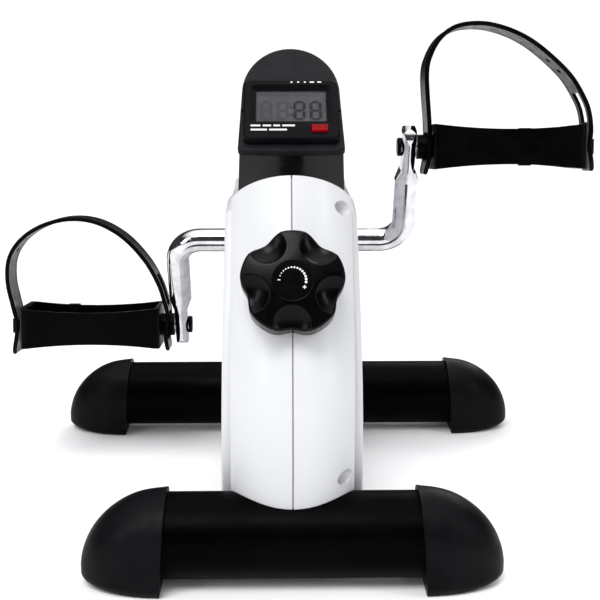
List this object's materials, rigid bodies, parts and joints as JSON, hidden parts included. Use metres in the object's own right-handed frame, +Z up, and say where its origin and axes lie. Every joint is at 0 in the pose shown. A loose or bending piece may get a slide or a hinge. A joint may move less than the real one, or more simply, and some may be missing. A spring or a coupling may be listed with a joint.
{
  "type": "pedal exerciser",
  "caption": "Desk or floor pedal exerciser with a moulded housing on two floor tubes, a bent crank, pedals with slotted foot straps, a tension knob and a clip-in display.",
  "frame": {"origin": "on the floor, in the middle of the base", "axes": "+X to the user's right across the machine, +Y away from the user, +Z up"},
  "size_m": [0.3995, 0.3556, 0.3199],
  "materials": {
    "white_shell": "white, satin gloss",
    "black_gloss": "piano black",
    "charcoal_plastic": "fine texture",
    "black_plastic": "satin",
    "black_rubber": "matt",
    "powder_coat": "satin black powder coat",
    "chrome": "polished",
    "steel": "zinc plated",
    "sintered_iron": "turned",
    "bronze": "oil filled",
    "strap_rubber": "satin",
    "felt": "band with felt lining",
    "lcd_glass": "clear",
    "lcd_dark": "dark display",
    "board_green": "solder mask",
    "battery_wrap": "wrapped cell",
    "red_button": "red",
    "magnet": "plated"
  },
  "bodies": {
    "base": {"front_stabilizer_tube": "powder_coat", "rear_stabilizer_tube": "powder_coat", "front_left_foot": "black_rubber", "front_right_foot": "black_rubber", "rear_left_foot": "black_rubber", "rear_right_foot": "black_rubber", "base_rail": "powder_coat", "left_frame_plate": "powder_coat", "right_frame_plate": "powder_coat", "frame_bolts": "steel", "frame_nuts": "steel", "left_axle_bush": "bronze", "right_axle_bush": "bronze", "reed_sensor": "black_plastic", "brake_band": "felt", "band_anchor_pin": "steel", "left_shell": "white_shell", "right_shell": "white_shell", "shell_screws": "steel", "neck_cover": "black_gloss", "console_cover": "charcoal_plastic", "meter_bezel": "charcoal_plastic", "lcd_window": "lcd_glass", "lcd_panel": "lcd_dark", "circuit_board": "board_green", "meter_case": "black_plastic", "battery_door": "black_plastic", "battery": "battery_wrap"},
    "crank": {"left_crank": "chrome", "right_crank": "chrome", "crank_hub": "steel", "hub_pins": "steel", "brake_drum": "sintered_iron", "sensor_magnet": "magnet", "left_spindle": "steel", "left_pin_head": "chrome", "left_spindle_nut": "steel", "right_spindle": "steel", "right_pin_head": "chrome", "right_spindle_nut": "steel"},
    "left_pedal": {"left_pedal": "black_plastic", "left_strap_stud": "black_plastic", "left_strap": "strap_rubber"},
    "right_pedal": {"right_pedal": "black_plastic", "right_strap_stud": "black_plastic", "right_strap": "strap_rubber"},
    "knob": {"tension_knob": "charcoal_plastic", "knob_disc": "black_plastic", "tension_screw": "steel", "screw_clip": "steel"},
    "nut": {"tension_nut": "steel"},
    "button": {"reset_button": "red_button"}
  },
  "joints": [
    {"name": "crank_spin", "type": "hinge", "parent": "base", "child": "crank", "pos_m": [0, 0.022, 0.173], "axis": [1, 0, 0], "continuous": true},
    {"name": "left_pedal_spin", "type": "hinge", "parent": "crank", "child": "left_pedal", "pos_m": [-0.141, 0.05285, 0.10684], "axis": [1, 0, 0], "continuous": true},
    {"name": "right_pedal_spin", "type": "hinge", "parent": "crank", "child": "right_pedal", "pos_m": [0.141, -0.00885, 0.23916], "axis": [1, 0, 0], "continuous": true},
    {"name": "knob_turn", "type": "hinge", "parent": "base", "child": "knob", "pos_m": [0, -0.1435, 0.171], "axis": [0, -0.9135, 0.4067], "range_deg": [-1080, 720]},
    {"name": "nut_travel", "type": "slide", "parent": "base", "child": "nut", "axis": [0, -0.9135, 0.4067], "range_m": [-0.0025, 0.00375]},
    {"name": "reset_button_press", "type": "slide", "parent": "base", "child": "button", "axis": [0, 0.6428, -0.766], "range_m": [0, 0.0008], "stiffness_N_per_m": 500}
  ],
  "couplings": [
    {"joint": "nut_travel", "follows": "knob_turn", "m_per_rad": -0.00019894}
  ]
}
